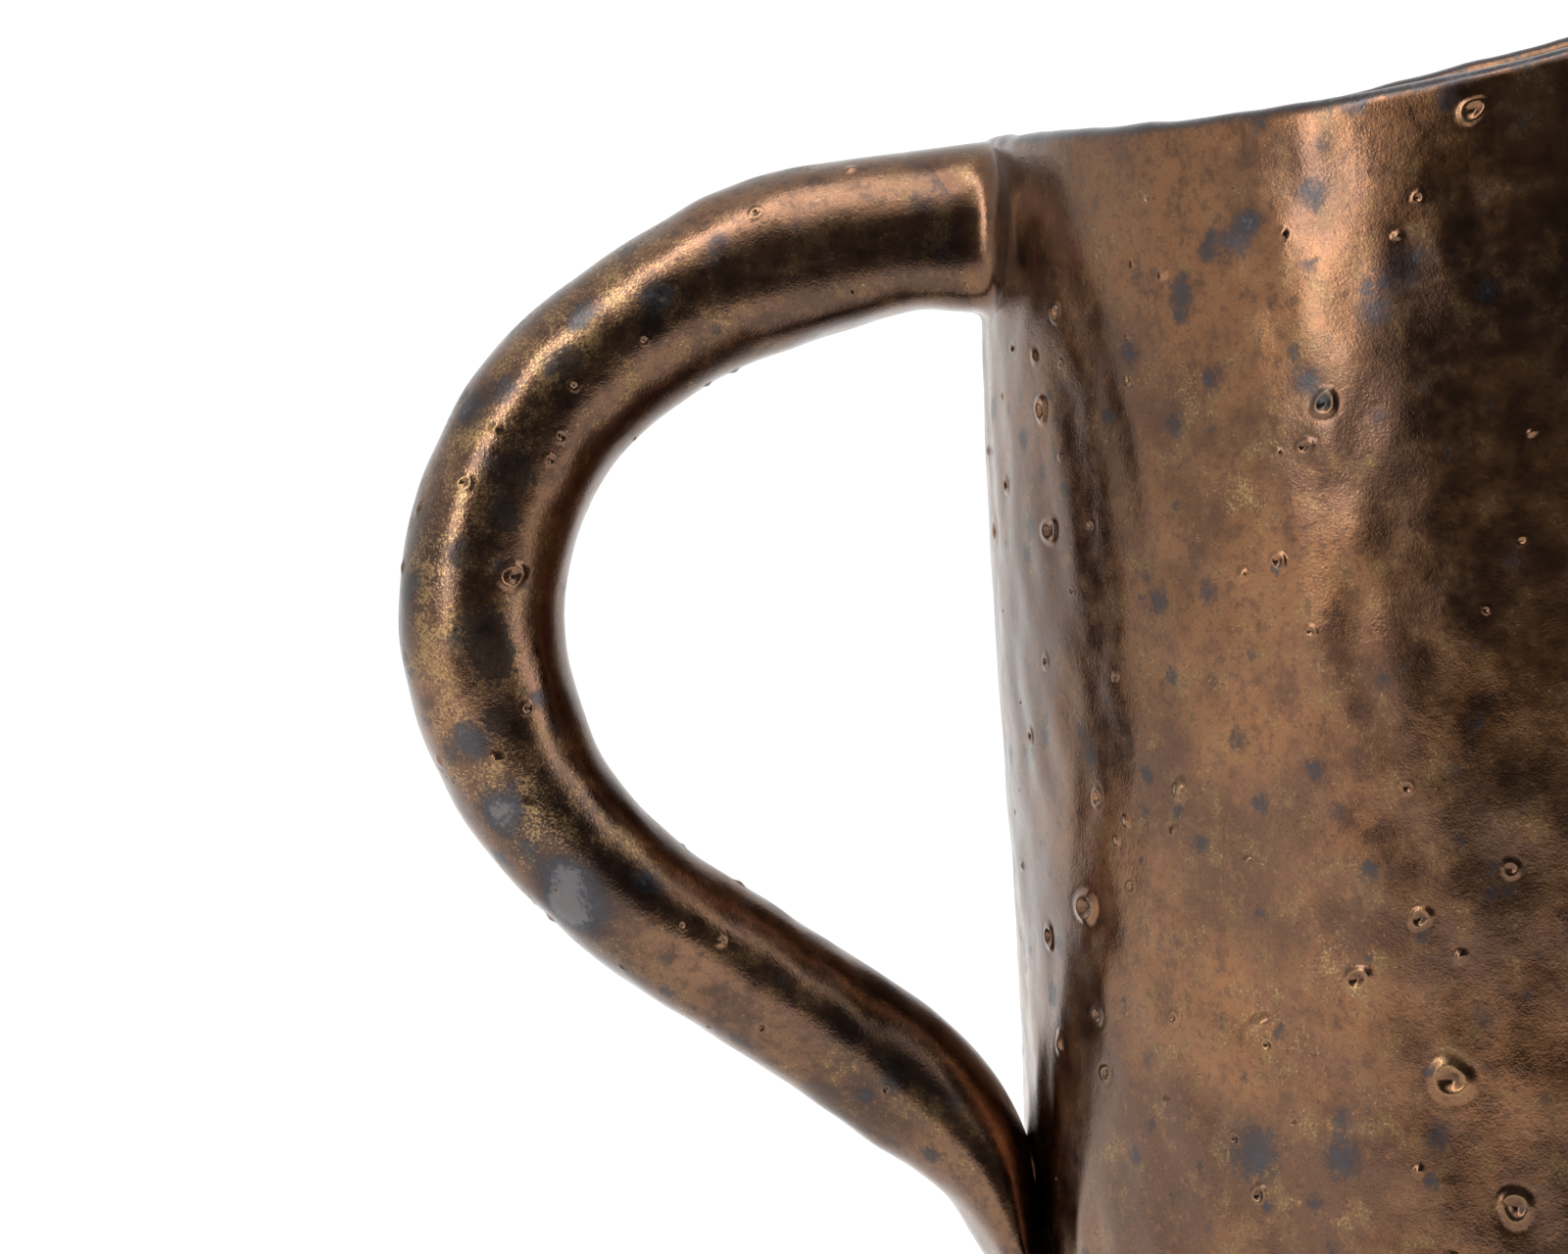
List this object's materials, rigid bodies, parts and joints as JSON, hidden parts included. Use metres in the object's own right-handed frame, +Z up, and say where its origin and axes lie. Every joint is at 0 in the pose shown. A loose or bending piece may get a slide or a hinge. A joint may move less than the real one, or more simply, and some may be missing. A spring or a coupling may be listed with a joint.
{
  "type": "milk jug",
  "caption": "Hand-built stoneware milk jug with a metallic bronze glaze, an upswept pouring beak and a loop handle.",
  "frame": {"origin": "centre of the flat underside of the base, on the table", "axes": "+Z up along the body's axis, +X from the handle towards the pouring spout, XZ the plane of symmetry"},
  "size_m": [0.15, 0.094, 0.1306],
  "materials": {
    "bronze_glaze": "satin",
    "seam_glaze": "satin",
    "bare_clay": "matte"
  },
  "bodies": {
    "root": {"body_wall": "bronze_glaze", "pouring_spout": "bronze_glaze", "handle": "bronze_glaze", "upper_handle_collar": "seam_glaze", "lower_handle_collar": "seam_glaze", "spout_seam_coil": "seam_glaze", "floor_coil": "seam_glaze", "base_slab": "bare_clay"}
  },
  "joints": []
}
